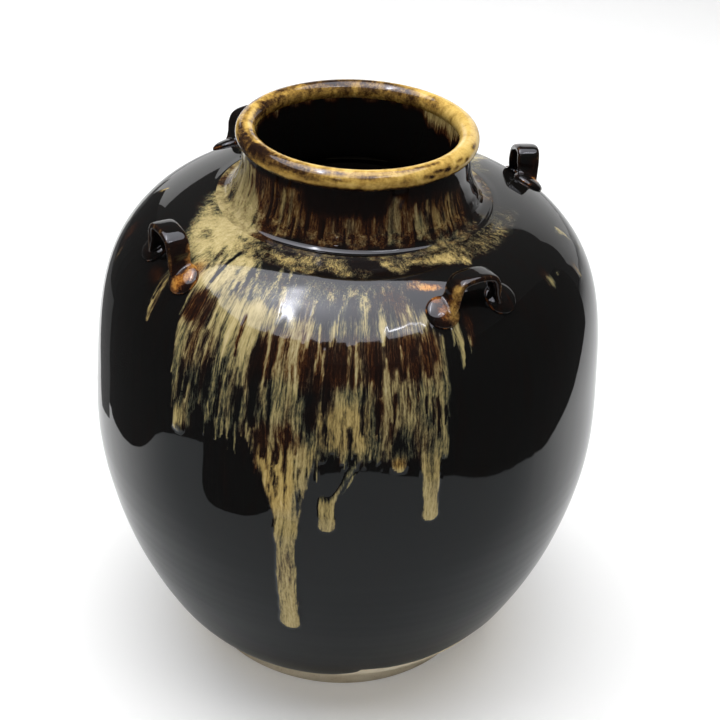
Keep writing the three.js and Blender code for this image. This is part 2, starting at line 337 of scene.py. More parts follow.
    # gaps in it
    g.run(-20.2, 50, -19.2, 84, 2.6, -0.45)
    g.spot(-7.2, 75, 2.6, 6, -0.5, 0.9)
    g.spot(-7.5, 64, 4, 6, -0.35)
    g.field(-9.6, -5.8, 48, 66, 0.8, 4, -0.05, 0.8)
    g.field(-5.4, 20, 43, 58, 1.2, 4, -0.1, 0.8)
    g.scatter(16, (-9, 18), (42, 52), (8, 18), (0.25, 0.6))
    g.each(g.run, [
        (-25.3, 38, -25.2, 56, 1.1, -0.2, 1), (-16.7, 42, -16.5, 62, 1.8, -0.2, 1),
        (6.7, 67, 6.6, 84, 1.2, -0.35, 0.8), (17.6, 62, 17.7, 80, 0.9, -0.2, 0.3),
        (-34.2, 72, -33.6, 92, 1.2, -0.1, 0), (-23.4, 68, -22.6, 90, 1.2, -0.05, 0),
        (11.4, 88, 11.4, 97, 3.6, -0.3, 0),
    ])
    # runs that stand out
    g.each(g.run, [
        (-41.2, 50, -40.4, 62, 1.9, 0.9), (-38.6, 52, -38, 76, 1.2, 0.7),
        (-36.2, 54, -36, 70, 1, 0.7), (-33.6, 36, -33.2, 49, 1.5, 0.95),
        (-31.6, 38, -30.6, 60, 1.5, 0.95), (-28, 36, -27.8, 58, 2.2, 1.1),
        (-23.6, 34, -23.8, 60, 2.4, 1.15), (-22.2, 46, -22, 67, 1.3, 1),
        (-18, 40, -17.8, 66, 0.9, 0.9), (-15.2, 44, -14.6, 88, 1.5, 0.8),
        (-12.6, 40, -12, 82, 1.6, 0.8), (-6.8, 36, -6.6, 57, 0.9, 0.9),
        (-8.9, 38, -9.3, 47, 1.2, 0.8), (-3.6, 36, -3.8, 46, 1.4, 0.7),
        (1.7, 42, 2.1, 60, 0.9, 0.8), (5.6, 58, 5.4, 80, 0.9, 0.7), (8.2, 34, 7.9, 45, 1.2, 0.85),
        (-1.4, 66, -1.5, 88, 2.2, 0.95), (2.2, 68, 2.4, 90, 1.8, 0.9), (8.4, 55, 8, 89, 1.5, 0.8),
        (16.6, 58, 16.4, 86, 1.4, 0.85), (19.6, 54, 19, 96, 1.8, 0.85),
        (21.8, 42, 21, 84, 1.2, 0.6), (-28.8, 62, -28.4, 84, 1.1, 0.6),
        (-26.8, 62, -26, 93, 1.1, 0.55),
    ])
    # the curtain thins out
    thin = window(g.s, 46, 58, bottom - 10, bottom - 2) * smooth(-0.7, 0.1, g.cover)
    g.cover = g.cover - thin * (0.16 + 0.12 * smooth(-22, -30, az) * smooth(60, 70, g.s))
    g.field(8, 21.6, 61, bottom - 9, 1.6, 5, 0.42, 0.2)
    g.scatter(22, (8, 21), (52, 70), (12, 26), (0.3, 0.85), (0.4, 1), lower=curtain_bottom)
    g.scatter(10, (9, 21), (56, 76), (8, 18), (-0.4, 0), warm=0.7)
    # a fringe of thin ends
    g.scatter(50, (-30, 8), (80, 92), (8, 16), (0.2, 0.7),
              lower=lambda a: curtain_bottom(a) + 5)

    # the funnel that feeds the long drip
    t = np.clip((g.s - 84) / 46, 0, 1)
    left = -20.2 + 7 * t**0.85
    right = -5 - 3.8 * t**0.8
    inside = window(az, left - 0.6, left + 0.6, right - 0.6, right + 0.6)
    inside = inside * window(g.s, 84, 100, 126, 133)
    g.lay(inside, cover=0.95, amber=0.5, warm=0)
    g.lay(inside * smooth(-10.6, -9.4, az), amber=0.1, cover=0.74)
    g.scatter(14, (-19, -9), (80, 92), (8, 16), (-0.3, 0.2), (0.6, 1.4), warm=0.9)
    g.scatter(20, (-18, -6), (92, 112), (6, 18), (0.1, 0.5), (0.3, 0.7))

    # runs apart from the curtain
    g.run(-52.6, 34, -51.6, 60, 3, 0.55, amber=0.2)
    g.run(-53.2, 38, -52.4, 56, 1.2, 0.85, amber=0.2)
    g.scatter(8, (-54, -51), (34, 44), (6, 14), (-0.2, 0.3))
    g.run(26.4, 38, 25.6, 58, 2.1, 0.6)
    g.scatter(6, (25, 27), (38, 48), (5, 10), (0.2, 1), (0.4, 0.8))
    g.each(g.run, [
        (25.2, 40, 24.6, 48, 1, 0.5), (29.5, 38, 29, 50, 3.4, -0.05, 0.9),
        (28.5, 44, 28.3, 53, 0.9, 0.45),
    ])
    g.each(g.spot, [
        (-57, 41, 7, 5, -0.1, 1), (60.8, 39, 3.2, 4.8, 0.9), (59.8, 34, 2.8, 3.6, 0, 1),
        (66, 39, 3, 1.6, 0.45), (75.5, 45, 3.4, 5, 0.1, 0.9),
    ])
    g.each(g.run, [
        (75.3, 45, 76.5, 58, 1.9, 0.7), (84.5, 31, 88, 49, 2.4, 0.7), (82, 29, 85, 40, 1.6, 0.4),
    ])
    g.spot(-95.5, 26.5, 3.2, 4, 0.8, amber=0.4)
    g.spot(-93.5, 36, 2.4, 2.6, 0.15)
    g.run(-90, 42, -93, 50, 2, 0.35)
    g.spot(-83, 44, 6, 8, 0, 1)
    g.run(-79, 50, -78, 62, 2, 0.3, 0.7)
    g.run(-98, 60, -100, 74, 2.5, 0.2, 0.8)
    # orange glow by the lug pads
    g.spot(22.5, 20, 6.5, 3, 0.7, lean=1.2, fire=0.85)
    g.spot(19.5, 17, 3.4, 2.6, 0.5, 1, fire=0.2)
    g.spot(-46, 31, 3.6, 6, 0.4, fire=0.5)
    g.spot(-56, 29, 4, 4, 0.2)
    # the back, which the photograph does not show
    g.field(112, 181, -8, 13, 9, 6, 0.1)
    g.field(-181, -126, -8, 13, 9, 6, 0.2)
    g.scatter(40, (120, 230), (2, 14), (6, 18), (0.3, 0.9), (0.8, 2))
    g.scatter(9, (135, 225), (12, 26), (12, 34), (0.4, 0.9), (1, 2))


DRIPS = [
    # azimuth at the top and at the tip, start, tip, half width at the top and tip, height
    (-11.1, -10.4, 122, 194, 5.4, 4.75, 1.3), (-3, -2.7, 111, 129, 4, 3.7, 0.9),
    (17.9, 18.2, 92, 125, 4.6, 3.9, 1), (-37, -36.6, 84, 98, 2.2, 2.6, 0.8),
    (11.4, 11.4, 91, 99.5, 3, 3.4, 0.6),
]


def paint_drips(g):
    # a slanting run feeds the short middle drip
    g.run(3.6, 90, -2, 115, 1.7, 0.36, sharp=0.9)
    g.run(3, 98, 0.2, 110, 0.8, 0.6)
    for top_az, tip_az, start, tip, half0, half1, lift in DRIPS:
        t = np.clip((g.s - start) / (tip - start), 0, 1)
        x = g.across(top_az + (tip_az - top_az) * t)
        half = half0 + (half1 - half0) * smooth(0, 0.35, t)
        half = half * (1 + 0.035 * np.sin(g.s * 0.31 + tip) + 0.05 * smooth(0.8, 0.95, t))
        past = np.maximum(g.s - (tip - half1), 0)
        d = np.sqrt(x * x + past * past) / half
        fade = smooth(start - 5, start + 5, g.s)
        cover = 0.7 + 0.16 * smooth(0.2, 0.9, t)
        g.lay((1 - smooth(0.84, 1.04, d)) * fade, cover=cover, amber=0.15, warm=0)
        dome = lift * np.sqrt(np.clip(1 - (d / 1.05) ** 2, 0, 1))
        g.lift = np.maximum(g.lift, dome * smooth(start + 2, start + 12, g.s))
    g.spot(-36.6, 96.5, 3, 2.2, 0.2)
    g.spot(11.4, 95, 2.6, 2.6, 0.35, 0.7, amber=0.8)


MOTTLED, DRAWN_OUT = 0.9, 0.075


def flow(theta, s, radius, stretch=None):
    """Coordinates for streaks: round the jar at one radius, and down it.

    Near the ridge the glaze is mottled; lower down it is drawn out, so that the last
    coordinate runs slower there. The streaks wander a little from side to side.
    """
    if stretch is None:
        steps = np.linspace(0, 330, 661)
        rate = MOTTLED + (DRAWN_OUT - MOTTLED) * smooth(8, 34, steps)
        z = np.interp(s * 1000, steps, summed(rate, np.diff(steps))) / 1000
    else:
        z = s * stretch + (MOTTLED - stretch) * np.clip(s - 0.02, 0, 0.014)
    sway = 0.003 * np.sin(s * 210 + 9 * np.sin(7 * theta)) + 0.0008 * np.sin(s * 610 + 31 * theta)
    return around(theta + sway, radius, z)


# The body
def glaze_end(az):
    """Where the glaze stops above the bare clay, as a distance from the ridge."""
    at = [-181, -60, -34, -16, -5, 0, 5.5, 7.2, 7.9, 11, 16, 27, 38, 46, 60, 90, 140, 181]
    end = [262, 261, 260, 256, 254.5, 251, 246, 243.5, 240.5, 240.5, 241.8, 241.5, 238]
    end += [236, 239, 246, 257, 262]
    return np.interp(az, at, end) / 1000 + 0.0001 * wave(np.radians(az), (7, 4, 0.3), (13, 2, 1.1))


# Rows of its grid: fine under the pattern, then closing in on the edge of the glaze
theta = columns(0.36, 2.4, (-62, 44))
cols = len(theta)
s_line = glaze_end((np.degrees(theta) + 180) % 360 - 180)
FINE_TO, MIDDLE_TO, CLOSE_FROM = 0.128, 0.199, 0.2
CLAY_ROWS = (0.008, 0.03, 0.12, 0.3, 0.5, 0.75, 1)
even = np.concatenate([np.arange(0, FINE_TO, 0.0009), np.arange(FINE_TO, MIDDLE_TO, 0.0015)])
s_rows = [np.full(cols, v) for v in even]
s_rows += [CLOSE_FROM + (s_line - CLOSE_FROM) * t for t in np.linspace(0, 1, 26)]
s_rows += [s_line + (BODY.length - s_line) * t for t in CLAY_ROWS]
S = np.array(s_rows)
T = np.broadcast_to(theta, S.shape)
r, z, nr, nz = BODY.at(S)
coat = Glaze(np.degrees(T), S * 1000, r)
paint_body(coat)
paint_drips(coat)
coat.bare[-len(CLAY_ROWS) :] = 1

# Throwing rings, a wall that is not quite round, and the thickness of the glaze
RING, FINE_RING, WAVER, SHEET, EDGE_ROLL, INSET = 0.00002, 0.000012, 0.0001, 0.18, 0.0005, 0.0003
fine_rings = np.sin(z / 0.0064 * 2 * np.pi + T + 1.3 * np.sin(z * 90)) * smooth(0.12, 0.15, S)
rings = np.sin(z / 0.0163 * 2 * np.pi - T + 2 * np.sin(z * 41)) * smooth(0.12, 0.16, S)
waver = wave(T, (2, 1, 0.3), (5, 0.5, 1)) * np.sin(z * 36 + 0.4) * smooth(0.02, 0.06, S)
sheet = SHEET * smooth(-0.1, 0.6, coat.cover) * smooth(0.02, 0.05, S)
lift = (coat.lift + sheet) * 0.001 + FINE_RING * fine_rings + RING * rings + WAVER * waver
lift = lift - INSET - EDGE_ROLL * smooth(0.0022, 0, s_line[None, :] - S)
lift = lift * smooth(0, 0.004, S)
# only the drips in front may stand out past the belly
room = np.where(np.abs(np.degrees(T)) < 40, 0.0016, -0.00005)
R, Z = np.minimum(r + nr * lift, BELLY + room), z + nz * lift

# The inside, from the foot up to the mouth: [radius, height]
INSIDE = [
    (FOOT_R - 0.009, 0.0087), (0.0745, 0.0205), (0.0885, 0.038), (0.1022, 0.0695),
    (0.1112, 0.1025), (0.1138, 0.128), (0.1122, 0.16), (0.1092, 0.183), (0.1035, 0.202),
    (0.0915, 0.217), (0.077, 0.2245), (0.059, 0.2285), (0.0472, 0.229), (0.0472, 0.2325),
]
inner = [around(theta, FOOT_R - 0.0022, Z[-1] + 0.0002)]
inner += [around(theta, radius, np.full(cols, height)) for radius, height in INSIDE]
verts = np.concatenate([around(T, R, Z), np.array(inner)]).reshape(-1, 3)
faces = grid_faces(len(S) + len(inner), cols, close_rows=True)[:, ::-1]
body = new_mesh("glazed_body", verts, faces, coat.values(flow(T, S, 0.1), len(inner) * cols))
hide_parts("body_wall", "ash_glaze_pour")
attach(body, "root")


# Round pieces
def lathe_piece(name, outline, theta, paint, stretch, radius, bump=None):
    """A round piece from a closed outline, painted by a function."""
    pts = np.array(outline)
    s, turn = np.meshgrid(arc_length(pts), theta, indexing="ij")
    r, z = (np.repeat(pts[:, i : i + 1], len(theta), 1) for i in (0, 1))
    if bump is not None:
        r, z = bump(r, z, turn)
    g = Glaze(np.degrees(turn), s * 1000, r)
    paint(g)
    verts = around(turn, r, z).reshape(-1, 3)
    faces = grid_faces(len(pts), len(theta), close_rows=True)
    return new_mesh(name, verts, faces, g.values(flow(turn, s, radius, stretch)))


# The neck: down its outside from the rim to the ridge, then up its inside
neck_outer = [
    (0.0509, NECK_TOP + 0.0012), (0.0507, 0.2569), (0.0508, 0.2529), (0.0512, 0.2489),
    (0.0522, 0.245), (0.0535, 0.2413), (0.0549, 0.2385), (0.0562, 0.2359), (0.0575, 0.23442),
    (0.05935, 0.23368), (0.0613, 0.23353), (RIDGE_R + 0.0001, RIDGE_Z),
]
neck_inner = [
    (0.05, 0.2275), (0.0472, 0.2288), (0.0456, 0.233), (0.045, 0.24),
    (0.0449, NECK_TOP - 0.008), (0.0455, NECK_TOP + 0.0012),
]
neck_outer, neck_inner = catmull(neck_outer, 8), catmull(neck_inner, 8)
neck_outline = np.vstack([neck_outer, neck_inner])
neck_mm = arc_length(neck_outline) * 1000
OUTER_MM, INNER_MM = neck_mm[len(neck_outer) - 1], neck_mm[len(neck_outer)]


def paint_neck(g):
    outside = g.s < OUTER_MM + 1
    g.lay(outside * 1, cover=0, warm=1)
    g.field(-57, -44, 2, 50, 2, 5, 0.18)
    g.field(-92, -58 + 13 * smooth(6, 30, g.s), -2, 50, 3, 2, 0.8, 0.35)
    g.field(-40, -24, 2, 50, 4, 5, 0.14, amber=0.2)
    g.each(g.field, [
        (-21, 14, -2, 12, 3, 5, -0.6, 1), (-21, 14, 14, 50, 3, 5, 0.2),
        (15.5, 23, 4, 50, 1.5, 4, 0.3, 0.6), (28, 40, 12, 50, 2, 5, 0.42, 0.5),
    ])
    g.field(36, 62, 8, 24, 4, 5, 0.28, amber=0.3)
    g.field(26, 64, -2, 8, 4, 5, -0.55, 0.6)
    g.field(62, 95, -2, 50, 4, 4, -0.4, 0.5)
    g.scatter(46, (-52, 58), (6, 18), (8, 18), (0.2, 0.6), (0.35, 0.8))
    g.scatter(16, (-90, -57), (1, 12), (8, 16), (0.6, 0.95), (0.8, 1.6))
    g.scatter(6, (-80, -57), (2, 10), (6, 12), (0.2, 0.5), (0.6, 1.2), warm=0.7)
    g.scatter(30, (-52, 60), (6, 20), (8, 18), (-0.5, -0.1), (0.4, 1))
    g.field(-24, 14, -2, 12, 3, 4, -0.7, 1)
    g.each(g.run, [
        (-64, 4, -63.5, 24, 1, 0.4, 1), (-36, 6, -35, 30, 1.1, 0.5, 0.4),
        (-31, 6, -30.5, 30, 1, 0.4, 0.5), (-27, 10, -27, 27, 1.2, 0.35, 0.8),
        (-2.5, 14, -2, 28, 1.1, 0.35, 0.6), (-8, 16, -8, 27, 1, 0.12, 1),
        (16.6, 8, 16.4, 31, 1.1, 0.45, 0.4), (20.5, 9, 20.8, 30, 0.9, 0.38, 0.5),
        (30.5, 15, 30.5, 31, 1.2, 0.5, 0.3), (33, 14, 33, 30, 0.9, 0.5, 0.3),
        (35.5, 15, 35.5, 31, 1.1, 0.46, 0.3), (42, 15, 42, 28, 1.6, 0.38, 0.3),
        (46.5, 17, 46, 28, 1.4, 0.3, 0.3), (52, 16, 52, 28, 1.6, 0.35, 0.5),
    ])
    g.spot(-77, 24, 4, 5, 0.2)
    # painted shadow of the rim: the top of the neck's outside, just under the roll, is darkened,
    # less far down at the left
    shade = 6 - 2.5 * smooth(-60, -75, g.az)
    g.lay((1 - smooth(1, shade, g.s)) * outside, cover=-0.8, warm=0.6)
    # the foot of the neck belongs to the shoulder: black with flecks, tan at the left
    az = g.turn
    end = 26 + 1 * wave(np.radians(az), (19, 0.6, 0.2), (31, 0.5, 1), (53, 0.4, 2))
    foot = smooth(end - 1.5, end + 2.5, g.s) * outside
    g.lay(foot * smooth(-42, -30, az), cover=-0.55, warm=0.2, amber=0)
    beyond = smooth(29.3, 30.6, g.s) * outside * window(az, -48, -30, 52, 68)
    g.lay(beyond, cover=0.1, amber=0.2, dull=1)
    g.each(g.spot, [
        (2, 32, 4, 1.6, -0.5), (13, 31, 4, 1.4, 0.35), (24, 31, 5, 1.6, 0.45),
        (33, 30, 5, 2.4, 0.5), (42, 29, 5, 3, 0.5), (52, 29, 5, 3, 0.4), (62, 29, 5, 3, 0.3),
        (73, 29, 4, 3, 0.2),
    ], amber=0.15)
    # the back and the inside
    for a, k in ((125, 0.6), (160, 0.25), (-150, 0.45), (-115, 0.6), (100, 0.2)):
        g.field(a - 14, a + 14, 4, 50, 6, 4, k, 0.6)
    up = g.s.max() - g.s
    inner = (g.s > INNER_MM - 0.5) * 1
    g.lay(inner, dull=1)
    depth = 0.4 + 7 * window(az, 88, 112, 126, 150)
    depth = depth + 1 * smooth(-75, -95, az) * (1 - smooth(-125, -150, az))
    depth = depth + 1 * wave(np.radians(g.az), (17, 1, 0.4), (29, 0.8, 2), (43, 0.6, 1))
    g.lay(inner, cover=-1, warm=0, amber=0)
    g.lay(inner * (1 - smooth(depth - 1, depth + 2.5, up)), cover=0.1, warm=1)
    g.lay(inner * (1 - smooth(depth - 5, depth - 1.5, up)), cover=0.6, warm=0.5, amber=0.3)


neck_theta = columns(0.9, 2, (-92, 92))
neck = lathe_piece("glazed_neck", neck_outline, neck_theta, paint_neck,
                   stretch=0.13, radius=0.055)
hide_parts("neck_collar")
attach(neck, "root")

# The rolled rim, an arc in degrees from under its outer side over the top to the inside
ROLL_START, ROLL_END, ROLL_POINTS = -58, 238, 60
roll = np.radians(np.linspace(ROLL_START, ROLL_END, ROLL_POINTS))
rim_outline = np.array(ROLL_CENTRE) + ROLL_R * np.stack([np.cos(roll), np.sin(roll)], -1)


def rim_bump(r, z, theta):
    """Makes the roll a little slimmer in places."""
    cr, cz = ROLL_CENTRE
    k = 0.988 - 0.018 * (1 + wave(theta, (2, 0.5, 0.2), (5, 0.3, 1.4), (9, 0.2, 0.5))) / 2
    return cr + (r - cr) * k, cz + (z - cz) * k


def paint_rim(g):
    # phi is the angle round the roll: 0 outside, 90 on top, 180 inside
    phi = ROLL_START + np.degrees(g.s / 1000 / ROLL_R)
    mm = ROLL_R * 1000 * np.pi / 180
    g.s = phi * mm
    az, turn = g.turn, np.radians(g.turn)
    g.lay(np.ones_like(phi), cover=0.82, amber=1)
    glow = wave(turn, (5, 1, 1.9), (11, 0.8, 0.4), (23, 0.5, 2.6)) + 0.6 * np.sin(phi / 13)
    g.lay(smooth(0.4, 1.8, glow), cover=1.15)
    blotch = wave(turn, (9, 1, 0.3), (16, 0.8, 1.2), (29, 0.6, 2.2))
    blotch = blotch + 0.8 * np.sin(phi / 21 + turn * 3)
    g.lay(smooth(0.5, 1.7, blotch), cover=0.4)
    # a pale gold spot on the front of the roll, partly the glaze's own gold and partly a painted
    # highlight
    g.spot(-2, 30 * mm, 12, 4, 1)
    # paler on the right, browner at the left and at the back
    pale = np.exp(-(((az - 82) / 52) ** 2))
    g.lay(pale * 0.8, cover=1.15, amber=0.85)
    g.lay(np.exp(-(((az + 54) / 24) ** 4)) * window(phi, 14, 26, 66, 84), cover=0.12)
    g.lay(smooth(118, 140, phi) * window(az, -165, -120, -118, -80), cover=0.5, warm=0.5)
    behind = 1 - smooth(25, 70, np.abs(az - 180 * np.sign(az)))
    g.lay(smooth(100, 150, phi) * behind, cover=0.45, warm=0.5)
    for a, p, w, h, k in (
        (-52, 40, 13, 3.6, 0), (-40, 44, 12, 3.2, 0), (-27, 40, 9, 2.4, 0.2),
        (-12, 56, 9, 1.4, 0.35), (-62, 4, 8, 2.2, 0.05), (-82, 62, 12, 1.5, 0.1),
        (-70, 56, 8, 1.2, 0.15), (-100, 20, 8, 2.4, 0.2), (-92, 84, 8, 1.6, 0.2),
        (-112, 50, 9, 2.4, 0.15), (-20, 6, 4, 1.5, 0.3), (-8, 20, 6, 0.9, 0.3), (6, 40, 8, 1, 0.45),
        (33, 14, 2.4, 1, 0.25), (36, 4, 2, 0.8, 0.15), (40, 24, 3.2, 0.8, 0.3),
        (46, 16, 2, 0.9, 0.1), (52, 4, 1.6, 1.2, 0.2), (55, 34, 2.6, 0.8, 0.25),
        (61, 14, 1.6, 1, 0.2), (22, 66, 8, 0.9, 0.3), (36, 72, 7, 0.8, 0.3),
        (72, 38, 3.4, 1.2, 0.35), (-150, 80, 14, 2, 0.2), (-165, 112, 12, 2.2, 0),
        (-132, 100, 9, 2, 0.1), (178, 100, 12, 2, 0.1), (160, 120, 9, 2, 0.1),
        (-118, 140, 9, 2, 0.1), (-100, 150, 9, 1.8, 0), (-160, 50, 16, 2.6, 0.3),
        (150, 30, 12, 3, 0.3), (110, 20, 10, 2.6, 0.4),
    ):
        g.spot(a, p * mm, w, h, k, 0.3)
    # painted shade: the underside of the roll, towards the neck, is darkened to a dark brown
    g.lay(1 - smooth(-40, -14, phi), cover=0, warm=1)


rim_theta = np.radians(np.arange(0, 360, 1))
rim = lathe_piece("glazed_rim", rim_outline, rim_theta, paint_rim,
                  stretch=0.8, radius=0.05, bump=rim_bump)
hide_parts("rolled_rim")
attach(rim, "root")

# The clay foot, from the middle of its underside round to the middle of its top
FOOT_HOLLOW, FOOT_TOP = 0.0022, 0.0099
foot_outline = [
    (0.03, FOOT_HOLLOW), (0.0535, FOOT_HOLLOW), (0.0552, 0.0018), (0.0566, 0.0004),
    (0.0574, 0), (0.0684, 0), (0.0692, 0.0002), (0.0698, 0.0009), (0.0703, 0.003),
    (0.0708, 0.006), (0.0711, 0.008), (0.0704, 0.0098), (0.066, FOOT_TOP), (0.04, FOOT_TOP),
]
foot_theta = np.radians(np.arange(0, 360, 2))
waver = 0.00012 * wave(foot_theta, (3, 1, 0.2), (8, 0.6, 1))
n = len(foot_theta)
verts = [(0, 0, FOOT_HOLLOW)]
for radius, height in foot_outline:
    uneven = waver if height < 0.009 else 0 * waver
    verts += list(around(foot_theta, radius + uneven, np.full(n, height)))
verts.append((0, 0, FOOT_TOP))
pairs = [(j, (j + 1) % n) for j in range(n)]
last = len(verts) - 1 - n
faces = [(0, 1 + k, 1 + j) for j, k in pairs]
faces += list(grid_faces(len(foot_outline), n) + 1)
faces += [(last + j, last + k, len(verts) - 1) for j, k in pairs]
foot = new_mesh("clay_foot", verts, faces)
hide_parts("foot_base")
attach(foot, "root")


# The lugs
def shoulder(radius):
    """Height of the shoulder at a radius."""
    upper = BODY.z > 0.19
    return np.interp(radius, BODY.r[upper], BODY.z[upper])


# azimuth, radius, turn of the loop, height of the strap
LUGS = {
    "lug_front_right": (32.7, 0.0923, -1.5, 0.0145),
    "lug_front_left": (-56, 0.0931, -3, 0.0166),
    "lug_back_right": (122, 0.0945, -26, 0.0166),
    "lug_back_left": (-144, 0.088, 0, 0.0158),
}
# orange and amber patches on a lug: along and across it in mm, half size, fire, amber, cover
LUG_GLOWS = {
    "lug_front_right": [
        (-15, -2, 3.4, 0.8, 0.2, 0.3), (-11, -4, 3.8, 0.1, 0.8, 0.45), (-16, 4, 3, 0.8, 0.3, 0.5),
    ],
    "lug_front_left": [
        (16, -3, 4, 0.75, 0.4, 0.5), (14, 5, 4.4, 0.55, 0.7, 0.6), (18, 1, 2.6, 0.7, 0.3, 0.5),
    ],
    "lug_back_right": [(-15, -3, 2.4, 0.9, 0, 0.5), (12, -2, 2, 0.2, 0.6, 0.3)],
    "lug_back_left": [(14, -2, 2, 0.4, 0.3, 0.2)],
}
# half of the strap's path, along the lug and above the shoulder, up to its middle
STRAP_PATH = [(-0.0158, -0.002), (-0.0142, 0.0004), (-0.012, 0.0022), (-0.0102, 0.0054)]
STRAP_PATH += [(-0.0094, 0.01), (-0.007, 0.0139), (0, 0.015)]
STRAP_T = 0.0034
STRAP_HALF_WIDTH, NARROWER_AT_FOOT, THINNER_AT_FOOT = 0.0052, 0.0012, 0.42
LOW_BELOW = 0.009
CORNER = 0.5  # 1 gives an oval section, less a squarer one
SIDES = 24
PAD_AT, PAD_DOWN, BURIED = 0.0142, 0.0004, 0.0012
PAD_HALF_SIZES = (0.0074, 0.0076, 0.003)
VOXEL = 0.00045


def make_lug(name, azimuth, radius, turn, height):
    """A strap with a pressed pad at each end, melted together."""
    a = math.radians(azimuth)
    facing = math.radians(azimuth + turn)
    centre = np.array([radius * math.sin(a), -radius * math.cos(a)])
    along = np.array([math.cos(facing), math.sin(facing)])
    across = np.array([-along[1], along[0]])
    half = np.array(STRAP_PATH)
    path = catmull(np.vstack([half, half[-2::-1] * [-1, 1]]), 5)
    path[:, 1] *= (height - STRAP_T / 2) / half[-1, 1]
    tangent = np.gradient(path, axis=0)
    tangent /= np.linalg.norm(tangent, axis=1)[:, None]
    verts = []
    for (px, py), (tx, ty) in zip(path, tangent):
        low = 1 - min(max(py, 0) / LOW_BELOW, 1)
        wide = STRAP_HALF_WIDTH - NARROWER_AT_FOOT * low * low
        thick = STRAP_T / 2 * (1 - THINNER_AT_FOOT * low)
        ground = shoulder(np.hypot(*(centre + along * px)))
        for k in range(SIDES):
            t = 2 * math.pi * k / SIDES
            w = math.copysign(abs(math.cos(t)) ** CORNER, math.cos(t)) * wide
            h = math.copysign(abs(math.sin(t)) ** CORNER, math.sin(t)) * thick
            spot = centre + along * (px - ty * h) + across * w
            here = ground + (shoulder(np.hypot(*spot)) - ground) * low
            verts.append((spot[0], spot[1], here + py + tx * h))
    faces = []
    for i in range((len(path) - 1) * SIDES):
        beside = i + 1 if (i + 1) % SIDES else i + 1 - SIDES
        faces += [(i, beside + SIDES, beside), (i, i + SIDES, beside + SIDES)]
    end = len(verts)
    faces += [tuple(range(SIDES)), tuple(range(end - 1, end - 1 - SIDES, -1))]
    strap = new_mesh(name + "_glazed", verts, faces)
    parts = [strap]
    for side in (-1, 1):
        spot = centre + along * side * PAD_AT
        pr, pa = math.hypot(*spot), math.atan2(spot[0], -spot[1])
        slope = (shoulder(pr + 0.004) - shoulder(pr - 0.004)) / 0.008
        down = Vector((math.sin(pa), -math.cos(pa), slope)).normalized()
        level = Vector((math.cos(pa), math.sin(pa), 0))
        basis = Matrix((down, level, down.cross(level))).transposed().to_4x4()
        basis.translation = (*spot, shoulder(pr) - PAD_DOWN)
        bpy.ops.mesh.primitive_uv_sphere_add(segments=32, ring_count=20, radius=1)
        pad = bpy.context.object
        pad.data.transform(basis @ Matrix.Diagonal((*PAD_HALF_SIZES, 1)))
        parts.append(pad)
    bpy.ops.object.select_all(action="DESELECT")
    for part in parts:
        part.select_set(True)
    bpy.context.view_layer.objects.active = strap
    bpy.ops.object.join()
    for kind, settings in (
        ("REMESH", {"mode": "VOXEL", "voxel_size": VOXEL}),
        ("SMOOTH", {"factor": 0.5, "iterations": 5}),
    ):
        modifier = strap.modifiers.new(kind, kind)
        for key, value in settings.items():
            setattr(modifier, key, value)
        bpy.ops.object.modifier_apply(modifier=kind)
    return strap, centre, along


def points_of(mesh):
    """The points of a mesh, and how far each is above the shoulder."""
    co = np.zeros(len(mesh.vertices) * 3)
    mesh.vertices.foreach_get("co", co)
    co = co.reshape(-1, 3)
    return co, co[:, 2] - shoulder(np.hypot(co[:, 0], co[:, 1]))


def trim_below(mesh, level):
    """Drops the part of a lug that lies deep inside the wall."""
    buried = np.where(points_of(mesh)[1] < level)[0]
    bm = bmesh.new()
    bm.from_mesh(mesh)
    bm.verts.ensure_lookup_table()
    bmesh.ops.delete(bm, geom=[bm.verts[i] for i in buried], context="VERTS")
    bmesh.ops.holes_fill(bm, edges=[e for e in bm.edges if e.is_boundary], sides=0)
    bm.to_mesh(mesh)
    bm.free()


lugs = []
for name, spec in LUGS.items():
    lug, centre, along = make_lug(name, *spec)
    trim_below(lug.data, -BURIED)
    co, height = points_of(lug.data)
    offset = co[:, :2] - centre
    x = offset @ along
    w = offset @ np.array([-along[1], along[0]])
    # the glaze has run thin on the edges, and gathers where the lug meets the wall
    edge = smooth(0.0034, 0.0046, np.abs(w)) * smooth(0.002, 0.005, height)
    skirt = smooth(0.0016, 0.0004, height) * smooth(-0.0004, 0.0002, height)
    pits = wave(x * 900 + w * 300, (1, 1, 0.2), (2.3, 0.8, 1), (4.1, 0.5, 2))
    cover = -0.62 + 0.16 * pits + 0.45 * edge + 0.55 * skirt
    honey = 0.75 * edge
    fire = 0.6 * skirt * smooth(-0.2, 0.9, pits)
    for px, pw, size, hot, mild, level in LUG_GLOWS[name]:
        near = np.exp(-(((x * 1000 - px) ** 2 + (w * 1000 - pw) ** 2) / size**2) ** 1.3)
        cover = cover + (level - cover) * near
        honey = honey + (mild - honey) * near
        fire = fire + (hot - fire) * near
    tints = [np.clip(tint, 0, 1) for tint in (0.35 + 0.2 * pits, honey, fire)]
    none = np.zeros(len(co))
    set_attributes(lug.data, dict(zip(Glaze.FIELDS, (cover, *tints, none, none))))
    set_attributes(lug.data, {"flow": co * 0.8})
    lug.data.polygons.foreach_set("use_smooth", [True] * len(lug.data.polygons))
    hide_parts(name)
    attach(lug, "root")
    lugs.append(lug)


